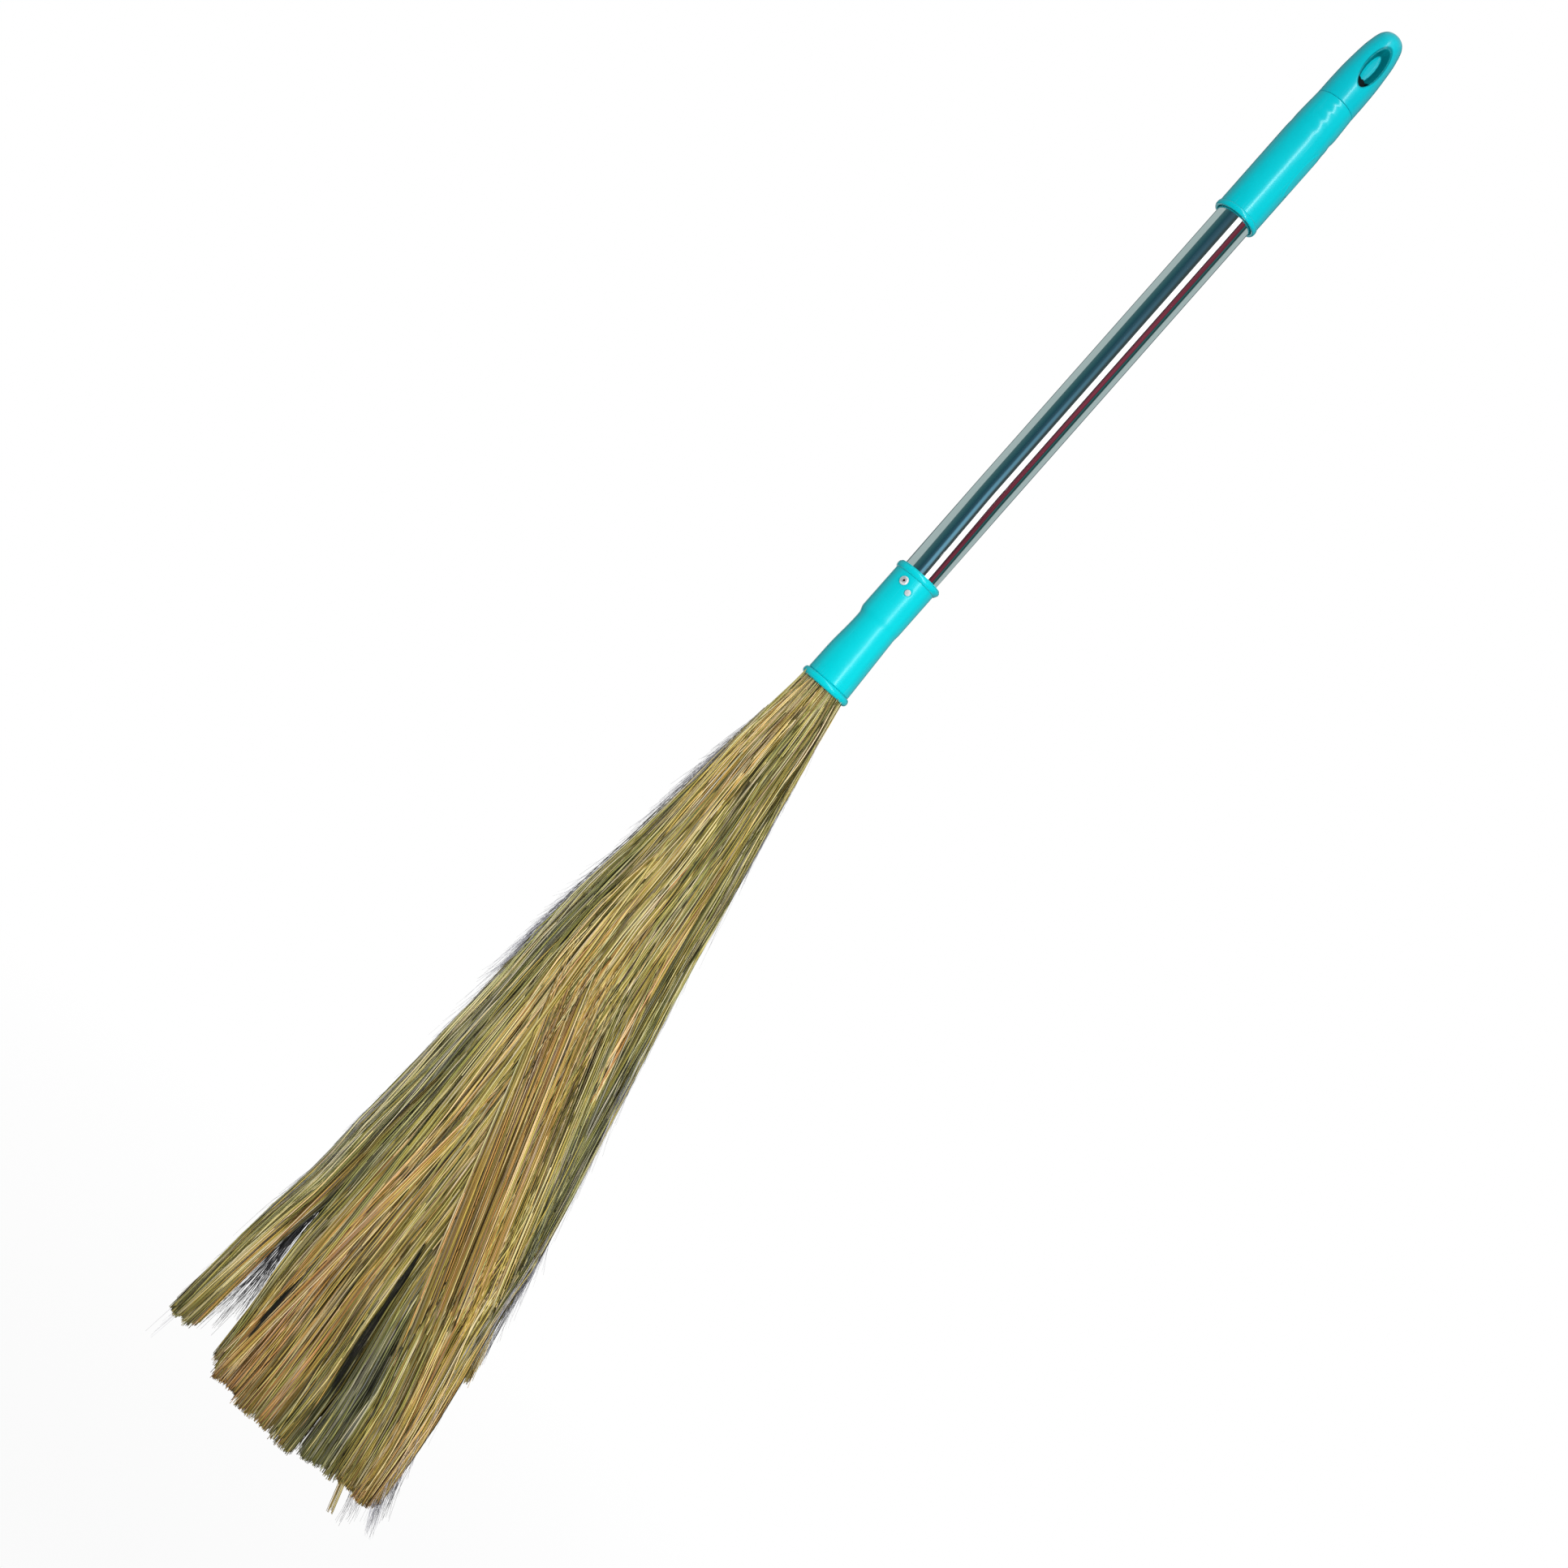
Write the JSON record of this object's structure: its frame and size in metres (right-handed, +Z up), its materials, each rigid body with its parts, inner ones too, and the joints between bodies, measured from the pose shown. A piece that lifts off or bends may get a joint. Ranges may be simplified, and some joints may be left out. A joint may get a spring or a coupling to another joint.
{
  "type": "straw broom",
  "caption": "Soft grass broom: a fanned, bound head in a plastic ferrule on a steel tube, with a plastic grip and a cap that has a hanging eye.",
  "frame": {"origin": "on the handle's axis, level with the top of the hanging eye, where the broom hangs", "axes": "+Z up the handle away from the grass, -Y is the front that the eye and the rivet face, +X to the right of someone who faces the front, which is the way the grass leans"},
  "size_m": [0.179, 0.0501, 1.1191],
  "materials": {
    "cap_plastic": "satin moulded cyan plastic",
    "grip_plastic": "satin moulded cyan plastic",
    "ferrule_plastic": "satin moulded turquoise plastic",
    "tube_steel": "polished steel tube with fine drawn lines",
    "fastener_metal": "bright, slightly scuffed",
    "binding_steel": "dull wire",
    "grass": "fine dry grass, olive to orange brown"
  },
  "bodies": {
    "root": {"hanging_cap": "cap_plastic", "grip_sleeve": "grip_plastic", "steel_tube": "tube_steel", "ferrule": "ferrule_plastic", "rivet": "fastener_metal", "locking_nail": "fastener_metal", "binding_wire_upper": "binding_steel", "binding_wire_lower": "binding_steel", "left_tuft": "grass", "right_tuft": "grass", "front_tuft_1": "grass", "front_tuft_2": "grass", "front_tuft_3": "grass", "front_tuft_4": "grass", "front_tuft_5": "grass", "front_tuft_6": "grass", "back_tuft_1": "grass", "back_tuft_2": "grass", "back_tuft_3": "grass", "back_tuft_4": "grass", "back_tuft_5": "grass", "back_tuft_6": "grass"}
  },
  "joints": []
}
